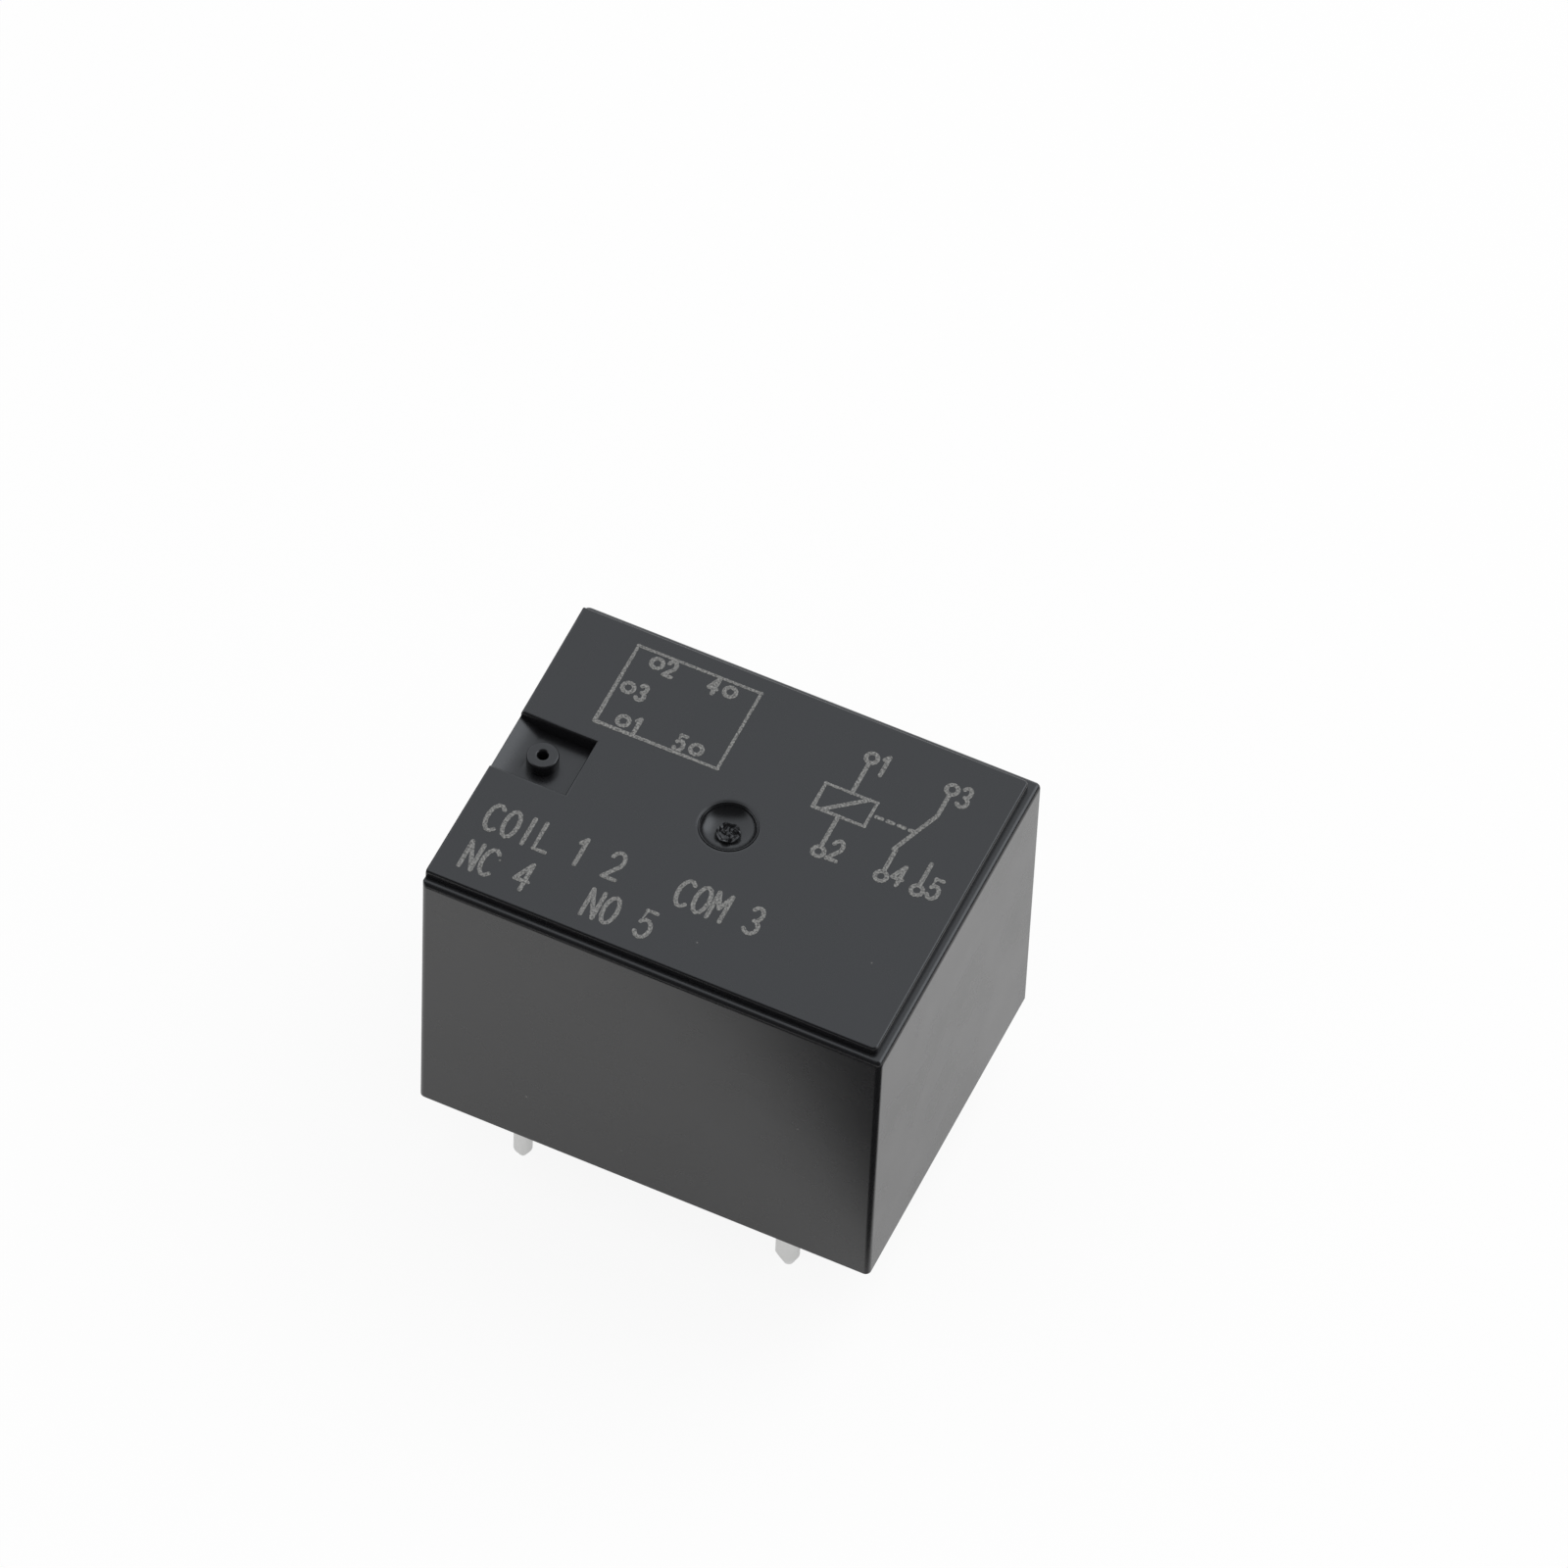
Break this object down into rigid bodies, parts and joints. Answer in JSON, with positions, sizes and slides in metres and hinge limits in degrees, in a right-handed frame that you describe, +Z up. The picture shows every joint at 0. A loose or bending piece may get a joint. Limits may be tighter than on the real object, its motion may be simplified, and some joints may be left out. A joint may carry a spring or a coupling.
{
  "type": "pcb power relay",
  "caption": "Sealed box-shaped power relay for circuit boards: black moulded case, pins below, hinged armature inside that moves a changeover contact.",
  "frame": {"origin": "centre of the case in plan, at the level of the pin tips", "axes": "+Z up, away from the board; +X along the case towards the contact end; the vent post is at the -X end"},
  "size_m": [0.0206, 0.0156, 0.0195],
  "materials": {
    "case_plastic": "moulded black plastic, satin gloss",
    "base_plastic": "moulded black plastic, glossy",
    "resin": "cured black sealing resin, wet gloss",
    "bobbin_plastic": "natural moulded plastic",
    "winding": "enamelled copper wire",
    "magnet_iron": "nickel-plated soft iron",
    "tinned_pin": "bright tin plating on copper alloy",
    "spring_copper": "rolled copper-alloy spring strip",
    "contact_silver": "silver alloy"
  },
  "bodies": {
    "case": {"cover": "case_plastic", "base": "base_plastic", "sealing_compound": "resin", "bobbin": "bobbin_plastic", "coil_winding": "winding", "core": "magnet_iron", "yoke": "magnet_iron", "yoke_rivets": "magnet_iron", "coil_pin_front": "tinned_pin", "coil_pin_rear": "tinned_pin", "com_terminal": "tinned_pin", "nc_terminal": "tinned_pin", "nc_contact": "contact_silver", "no_terminal": "tinned_pin", "no_contact": "contact_silver"},
    "armature": {"armature": "magnet_iron", "armature_rivets": "magnet_iron", "moving_spring": "spring_copper", "moving_contact": "contact_silver"}
  },
  "joints": [
    {"name": "armature_swing", "type": "hinge", "parent": "case", "child": "armature", "pos_m": [-0.0079, 0, 0.01484], "axis": [0, 1, 0], "range_deg": [0, 2.6], "stiffness_Nm_per_rad": 0.02, "springref_deg": -5.73, "deforming": ["moving_spring"]}
  ]
}
